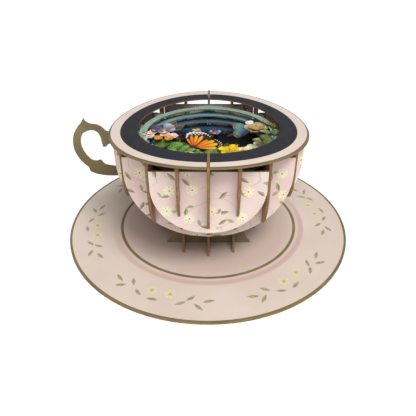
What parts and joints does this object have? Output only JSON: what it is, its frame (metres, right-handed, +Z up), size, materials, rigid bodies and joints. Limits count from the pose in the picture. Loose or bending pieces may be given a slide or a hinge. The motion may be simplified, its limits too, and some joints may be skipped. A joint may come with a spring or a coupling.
{
  "type": "slot-together card teacup on a saucer",
  "caption": "Slot-together card teacup on a flat round saucer, with a scroll handle, a lift-out middle slice and rim ring, and a die-cut garden of rings, leaves, flowers and butterflies inside.",
  "frame": {"origin": "centre of the saucer's underside", "axes": "+X to the right seen from the front, +Y to the back, +Z up; the handle points to -X"},
  "size_m": [0.16, 0.16, 0.0684],
  "materials": {
    "saucer_board": "matte",
    "printed_board": "matte",
    "rim_board": "matte",
    "teal_green_board": "matte",
    "teal_blue_board": "matte",
    "deep_blue_board": "matte",
    "night_board": "matte",
    "orange_wing_paper": "satin",
    "teal_wing_paper": "satin",
    "pansy_paper": "matte",
    "blossom_paper": "matte",
    "leaf_paper": "matte",
    "yellow_petal_paper": "matte",
    "cream_petal_paper": "matte",
    "peach_petal_paper": "matte",
    "olive_leaf_paper": "matte",
    "violet_paper": "matte"
  },
  "bodies": {
    "saucer": {"saucer": "saucer_board"},
    "cup": {"slice_left_3": "printed_board", "slice_left_2": "printed_board", "slice_left_1": "printed_board", "slice_right_1": "printed_board", "slice_right_2": "printed_board", "slice_right_3": "printed_board", "cross_front_3": "printed_board", "cross_front_2": "printed_board", "cross_front_1": "printed_board", "handle_slice": "printed_board", "cross_back_1": "printed_board", "cross_back_2": "printed_board", "cross_back_3": "printed_board"},
    "garden": {"middle_slice": "printed_board", "rim_ring": "rim_board", "garden_ring_1": "teal_green_board", "garden_ring_2": "teal_blue_board", "garden_ring_3": "deep_blue_board", "garden_floor": "night_board", "orange_butterfly": "orange_wing_paper", "teal_butterfly": "teal_wing_paper", "pansy": "pansy_paper", "blossom_cluster": "blossom_paper", "leaf_spray": "leaf_paper", "yellow_flower": "yellow_petal_paper", "cream_flower": "cream_petal_paper", "peach_flower": "peach_petal_paper", "leaf_sprig": "olive_leaf_paper", "violet": "violet_paper"}
  },
  "joints": [
    {"name": "cup_lift", "type": "slide", "parent": "saucer", "child": "cup", "axis": [0, 0, 1], "range_m": [0, 0.08]},
    {"name": "garden_lift", "type": "slide", "parent": "cup", "child": "garden", "axis": [0, 0, 1], "range_m": [0, 0.075]}
  ]
}
